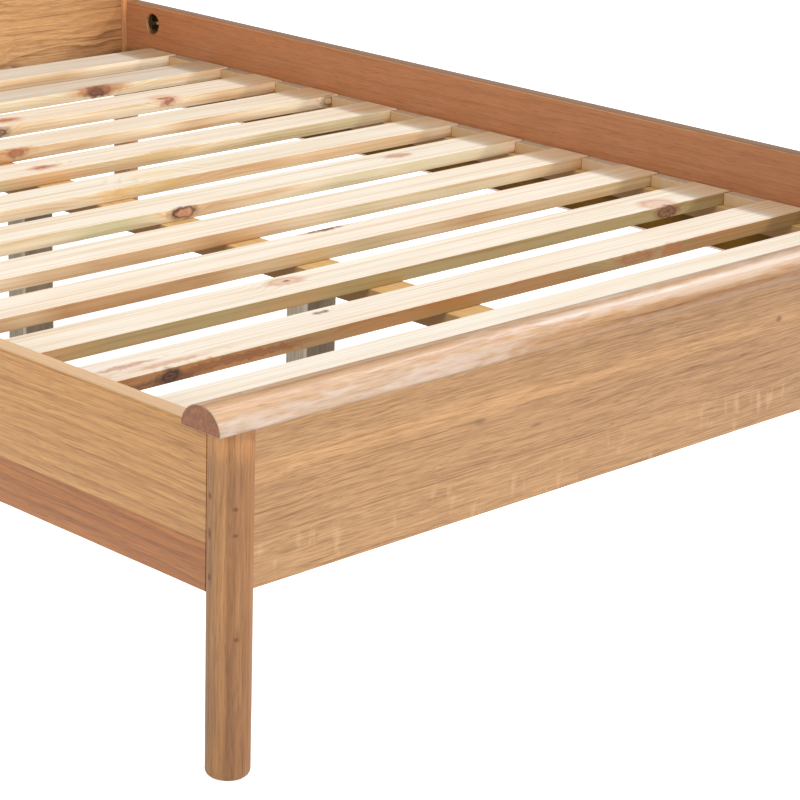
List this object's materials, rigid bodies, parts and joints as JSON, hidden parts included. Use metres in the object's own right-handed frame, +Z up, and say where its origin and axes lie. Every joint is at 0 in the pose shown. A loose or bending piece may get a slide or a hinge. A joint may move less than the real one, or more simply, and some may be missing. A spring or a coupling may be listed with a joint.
{
  "type": "slatted bed frame",
  "caption": "Wooden bed frame: panelled foot and head on round legs with half-round cap rails, side rails, and loose slats on ledgers and a legged centre beam.",
  "frame": {"origin": "on the floor, below the middle of the frame's outline", "axes": "+X across the bed to the right as seen by someone who stands at the foot and looks to the head, +Y from the foot end to the head end, +Z up"},
  "size_m": [1.613, 2.1092, 0.9997],
  "materials": {
    "oak_panel": "clear satin lacquer on oak veneer, grain along the panel",
    "oak_cap": "clear satin lacquer on solid oak, open end grain at both ends",
    "oak_leg": "clear satin lacquer on glued oak staves, grain upright",
    "centre_leg": "lacquered wood, grain upright",
    "oak_rail": "clear satin lacquer on oak veneer, grain along the rail",
    "pine_batten": "planed unfinished pine",
    "pine_slat": "planed unfinished pine with knots",
    "pine_block": "sawn pale pine",
    "plated_steel": "yellow-passivated plated steel"
  },
  "bodies": {
    "frame": {"foot_panel": "oak_panel", "headboard_panel": "oak_panel", "foot_cap_rail": "oak_cap", "headboard_cap_rail": "oak_cap", "foot_leg_left": "oak_leg", "foot_leg_right": "oak_leg", "head_post_left": "oak_leg", "head_post_right": "oak_leg", "centre_leg_1": "centre_leg", "centre_leg_2": "centre_leg", "side_rail_left": "oak_rail", "side_rail_right": "oak_rail", "slat_ledger_left": "pine_batten", "slat_ledger_right": "pine_batten", "centre_beam": "pine_batten", "spacer_block_left_01": "pine_block", "spacer_block_left_02": "pine_block", "spacer_block_left_03": "pine_block", "spacer_block_left_04": "pine_block", "spacer_block_left_05": "pine_block", "spacer_block_left_06": "pine_block", "spacer_block_left_07": "pine_block", "spacer_block_left_08": "pine_block", "spacer_block_left_09": "pine_block", "spacer_block_left_10": "pine_block", "spacer_block_left_11": "pine_block", "spacer_block_left_12": "pine_block", "spacer_block_right_01": "pine_block", "spacer_block_right_02": "pine_block", "spacer_block_right_03": "pine_block", "spacer_block_right_04": "pine_block", "spacer_block_right_05": "pine_block", "spacer_block_right_06": "pine_block", "spacer_block_right_07": "pine_block", "spacer_block_right_08": "pine_block", "spacer_block_right_09": "pine_block", "spacer_block_right_10": "pine_block", "spacer_block_right_11": "pine_block", "spacer_block_right_12": "pine_block", "corner_bolt_foot_left": "plated_steel", "corner_nut_foot_left": "plated_steel", "corner_bolt_foot_right": "plated_steel", "corner_nut_foot_right": "plated_steel", "corner_bolt_head_left": "plated_steel", "corner_nut_head_left": "plated_steel", "corner_bolt_head_right": "plated_steel", "corner_nut_head_right": "plated_steel"},
    "slat_01": {"slat_01": "pine_slat"},
    "slat_02": {"slat_02": "pine_slat"},
    "slat_03": {"slat_03": "pine_slat"},
    "slat_04": {"slat_04": "pine_slat"},
    "slat_05": {"slat_05": "pine_slat"},
    "slat_06": {"slat_06": "pine_slat"},
    "slat_07": {"slat_07": "pine_slat"},
    "slat_08": {"slat_08": "pine_slat"},
    "slat_09": {"slat_09": "pine_slat"},
    "slat_10": {"slat_10": "pine_slat"},
    "slat_11": {"slat_11": "pine_slat"},
    "slat_12": {"slat_12": "pine_slat"},
    "slat_13": {"slat_13": "pine_slat"}
  },
  "joints": [
    {"name": "slat_01_lift_out", "type": "slide", "parent": "frame", "child": "slat_01", "axis": [0, 0, 1], "range_m": [0, 0.12]},
    {"name": "slat_02_lift_out", "type": "slide", "parent": "frame", "child": "slat_02", "axis": [0, 0, 1], "range_m": [0, 0.12]},
    {"name": "slat_03_lift_out", "type": "slide", "parent": "frame", "child": "slat_03", "axis": [0, 0, 1], "range_m": [0, 0.12]},
    {"name": "slat_04_lift_out", "type": "slide", "parent": "frame", "child": "slat_04", "axis": [0, 0, 1], "range_m": [0, 0.12]},
    {"name": "slat_05_lift_out", "type": "slide", "parent": "frame", "child": "slat_05", "axis": [0, 0, 1], "range_m": [0, 0.12]},
    {"name": "slat_06_lift_out", "type": "slide", "parent": "frame", "child": "slat_06", "axis": [0, 0, 1], "range_m": [0, 0.12]},
    {"name": "slat_07_lift_out", "type": "slide", "parent": "frame", "child": "slat_07", "axis": [0, 0, 1], "range_m": [0, 0.12]},
    {"name": "slat_08_lift_out", "type": "slide", "parent": "frame", "child": "slat_08", "axis": [0, 0, 1], "range_m": [0, 0.12]},
    {"name": "slat_09_lift_out", "type": "slide", "parent": "frame", "child": "slat_09", "axis": [0, 0, 1], "range_m": [0, 0.12]},
    {"name": "slat_10_lift_out", "type": "slide", "parent": "frame", "child": "slat_10", "axis": [0, 0, 1], "range_m": [0, 0.12]},
    {"name": "slat_11_lift_out", "type": "slide", "parent": "frame", "child": "slat_11", "axis": [0, 0, 1], "range_m": [0, 0.12]},
    {"name": "slat_12_lift_out", "type": "slide", "parent": "frame", "child": "slat_12", "axis": [0, 0, 1], "range_m": [0, 0.12]},
    {"name": "slat_13_lift_out", "type": "slide", "parent": "frame", "child": "slat_13", "axis": [0, 0, 1], "range_m": [0, 0.12]}
  ]
}
